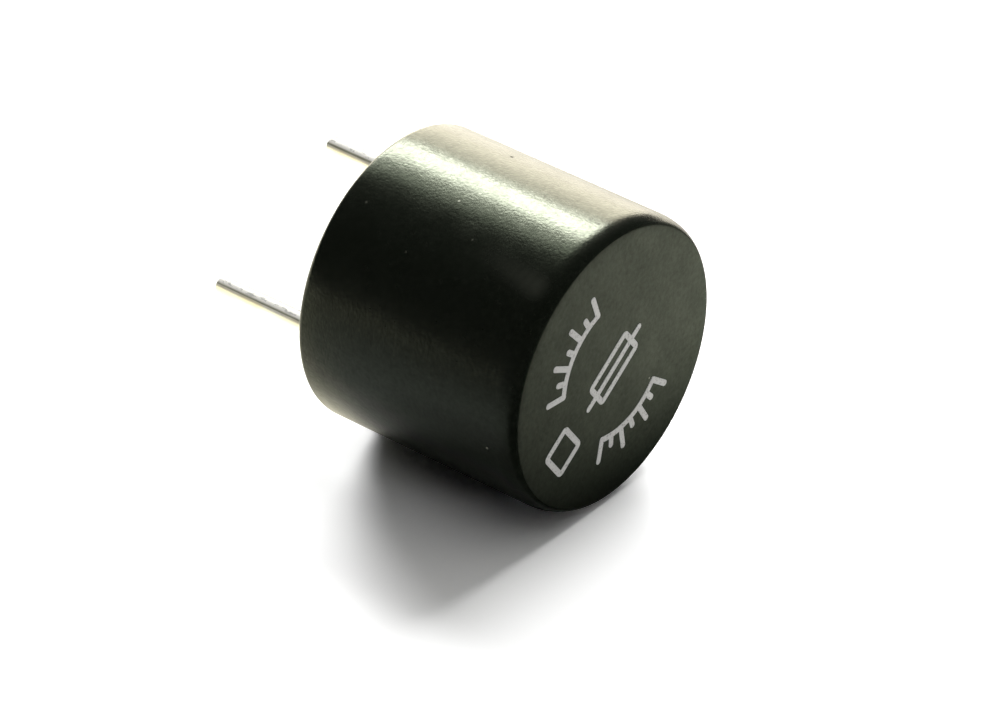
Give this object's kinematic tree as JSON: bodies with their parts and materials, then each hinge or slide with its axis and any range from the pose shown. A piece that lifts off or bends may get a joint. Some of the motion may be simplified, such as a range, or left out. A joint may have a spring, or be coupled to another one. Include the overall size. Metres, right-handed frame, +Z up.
{
  "type": "radial lead fuse",
  "caption": "Miniature fuse for circuit boards: a round black moulded body with a flat printed end and two parallel tinned leads out of the other end.",
  "frame": {"origin": "on the body's axis, at the seat that the circuit board touches, where the stand-off rib ends", "axes": "+X along the body's axis, out of the printed end; the leads point along -X; +Z up, with the body lying on its barrel"},
  "size_m": [0.0116, 0.0084, 0.0084],
  "materials": {
    "black_plastic": "satin moulded, matt on the printed end",
    "tinned_copper": "bright drawn wire, tinned",
    "silvered_wire": "bright",
    "solder": "dull grey solder"
  },
  "bodies": {
    "root": {"cap": "black_plastic", "base": "black_plastic", "lower_lead": "tinned_copper", "upper_lead": "tinned_copper", "fuse_wire": "silvered_wire", "lower_solder": "solder", "upper_solder": "solder"}
  },
  "joints": []
}
